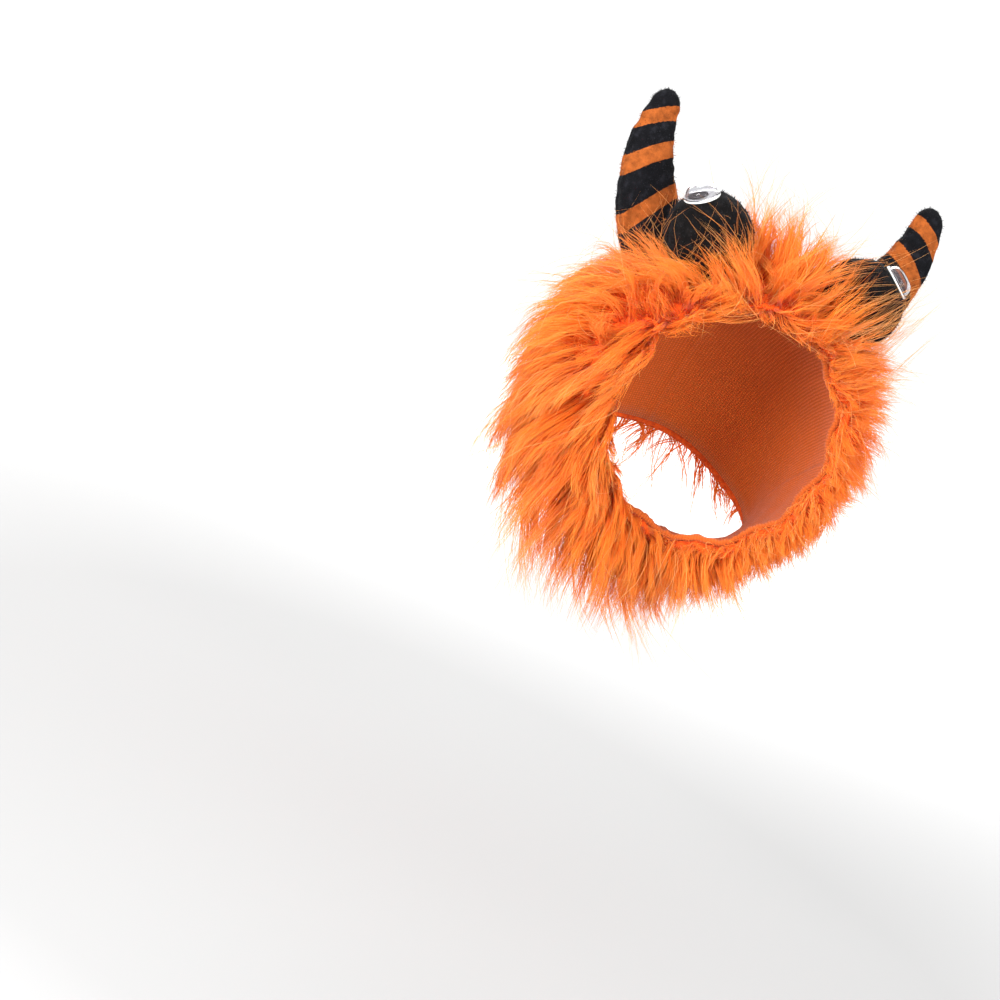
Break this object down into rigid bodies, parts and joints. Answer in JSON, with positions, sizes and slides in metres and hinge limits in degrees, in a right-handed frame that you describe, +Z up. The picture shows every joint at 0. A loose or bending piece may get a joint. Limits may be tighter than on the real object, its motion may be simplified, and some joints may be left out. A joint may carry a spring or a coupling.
{
  "type": "pet costume hood",
  "caption": "Pull-on hood for a small dog in long orange faux fur, with a face opening, striped stuffed horns, and black stuffed mounds carrying googly eyes.",
  "frame": {"origin": "highest inside point of the crown, where the top of the head meets the hood", "axes": "+Z up from the crown, -Y out of the face opening, +X to the right of a viewer who faces the opening"},
  "size_m": [0.2119, 0.1936, 0.2555],
  "materials": {
    "backing_cloth": "matte brushed knit backing",
    "long_pile": "long silky faux fur with paler tips",
    "horn_plush": "short-pile charcoal plush with burnt orange bands",
    "mound_plush": "short-pile black plush",
    "eye_white": "smooth white",
    "eye_clear": "clear and shiny",
    "eye_black": "smooth black"
  },
  "bodies": {
    "hood": {"hood_cloth": "backing_cloth", "fur_pile": "long_pile", "horn_left": "horn_plush", "horn_right": "horn_plush", "eye_mound_left": "mound_plush", "eye_mound_right": "mound_plush", "eye_back_left": "eye_white", "eye_back_right": "eye_white", "eye_dome_left": "eye_clear", "eye_dome_right": "eye_clear"},
    "loose_pupil_left": {"pupil_left": "eye_black"},
    "loose_pupil_right": {"pupil_right": "eye_black"}
  },
  "joints": [
    {"name": "pupil_left_orbit", "type": "hinge", "parent": "hood", "child": "loose_pupil_left", "pos_m": [-0.05391, -0.00998, 0.03234], "axis": [-0.5995, -0.0872, 0.7956], "continuous": true},
    {"name": "pupil_right_orbit", "type": "hinge", "parent": "hood", "child": "loose_pupil_right", "pos_m": [0.05391, -0.00998, 0.03234], "axis": [0.5995, -0.0872, 0.7956], "continuous": true}
  ]
}
